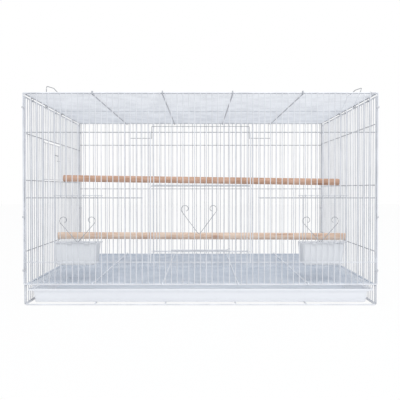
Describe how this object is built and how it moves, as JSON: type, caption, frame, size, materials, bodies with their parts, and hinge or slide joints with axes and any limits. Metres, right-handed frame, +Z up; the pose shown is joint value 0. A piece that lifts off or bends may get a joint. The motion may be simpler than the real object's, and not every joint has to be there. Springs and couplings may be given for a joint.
{
  "type": "bird breeding cage",
  "caption": "Rectangular wire breeding cage with lift-up front doors, a side nest door, hooked feed cups, wooden perches, a pull-out tray and folding carrying handles.",
  "frame": {"origin": "under the middle of the base frame, on the plane that the cage stands on", "axes": "+Z up, -Y out of the front with the doors, +X to the right as seen from the front"},
  "size_m": [0.7891, 0.4652, 0.5126],
  "materials": {
    "coated_wire": "satin white powder coat",
    "zinc_plate": "dull zinc",
    "white_plastic": "moulded, faintly blue white",
    "bare_wood": "unvarnished dowel"
  },
  "bodies": {
    "cage": {"front_panel": "coated_wire", "back_panel": "coated_wire", "left_side_panel": "coated_wire", "right_side_panel": "coated_wire", "top_panel": "coated_wire", "floor_grille": "coated_wire", "base_frame": "coated_wire", "upper_perch": "bare_wood", "lower_perch": "bare_wood", "front_left_clip_low": "zinc_plate", "front_left_clip_middle": "zinc_plate", "front_left_clip_high": "zinc_plate", "front_right_clip_low": "zinc_plate", "front_right_clip_middle": "zinc_plate", "front_right_clip_high": "zinc_plate", "back_left_clip_low": "zinc_plate", "back_left_clip_middle": "zinc_plate", "back_left_clip_high": "zinc_plate", "back_right_clip_low": "zinc_plate", "back_right_clip_middle": "zinc_plate", "back_right_clip_high": "zinc_plate", "left_roof_clip_front": "zinc_plate", "left_roof_clip_middle": "zinc_plate", "left_roof_clip_back": "zinc_plate", "right_roof_clip_front": "zinc_plate", "right_roof_clip_middle": "zinc_plate", "right_roof_clip_back": "zinc_plate", "corner_sleeve": "zinc_plate", "left_base_clip_front": "zinc_plate", "left_base_clip_back": "zinc_plate", "right_base_clip_front": "zinc_plate", "right_base_clip_back": "zinc_plate", "back_base_clip_left": "zinc_plate", "back_base_clip_right": "zinc_plate"},
    "tray": {"tray": "white_plastic"},
    "centre_door": {"centre_door": "coated_wire"},
    "left_feeder_door": {"left_feeder_door": "coated_wire"},
    "right_feeder_door": {"right_feeder_door": "coated_wire"},
    "nest_door": {"nest_door": "coated_wire"},
    "nest_door_hook": {"nest_door_hook": "zinc_plate"},
    "door_catch": {"door_catch": "coated_wire"},
    "left_cup": {"left_cup": "white_plastic"},
    "right_cup": {"right_cup": "white_plastic"},
    "left_handle": {"left_handle": "zinc_plate"},
    "right_handle": {"right_handle": "zinc_plate"}
  },
  "joints": [
    {"name": "tray_slide", "type": "slide", "parent": "cage", "child": "tray", "axis": [0, -1, 0], "range_m": [0, 0.4]},
    {"name": "centre_door_slide", "type": "slide", "parent": "cage", "child": "centre_door", "axis": [0, 0, 1], "range_m": [0, 0.11]},
    {"name": "left_feeder_door_slide", "type": "slide", "parent": "cage", "child": "left_feeder_door", "axis": [0, 0, 1], "range_m": [0, 0.088]},
    {"name": "right_feeder_door_slide", "type": "slide", "parent": "cage", "child": "right_feeder_door", "axis": [0, 0, 1], "range_m": [0, 0.088]},
    {"name": "nest_door_hinge", "type": "hinge", "parent": "cage", "child": "nest_door", "pos_m": [-0.38, -0.1, 0.31875], "axis": [0, 0, 1], "range_deg": [0, 150]},
    {"name": "nest_door_hook_hinge", "type": "hinge", "parent": "nest_door", "child": "nest_door_hook", "pos_m": [-0.3817, 0, 0.338], "axis": [0, 1, 0], "range_deg": [0, 90]},
    {"name": "door_catch_hinge", "type": "hinge", "parent": "cage", "child": "door_catch", "pos_m": [0, -0.22545, 0.3587], "axis": [1, 0, 0], "range_deg": [0, 140]},
    {"name": "left_cup_lift", "type": "slide", "parent": "cage", "child": "left_cup", "axis": [0, 0, 1], "range_m": [0, 0.02]},
    {"name": "right_cup_lift", "type": "slide", "parent": "cage", "child": "right_cup", "axis": [0, 0, 1], "range_m": [0, 0.02]},
    {"name": "left_handle_hinge", "type": "hinge", "parent": "cage", "child": "left_handle", "pos_m": [-0.3795, -0.01875, 0.4555], "axis": [0, 1, 0], "range_deg": [-143, 89]},
    {"name": "right_handle_hinge", "type": "hinge", "parent": "cage", "child": "right_handle", "pos_m": [0.3795, -0.01875, 0.4555], "axis": [0, 1, 0], "range_deg": [-111, 121]}
  ]
}
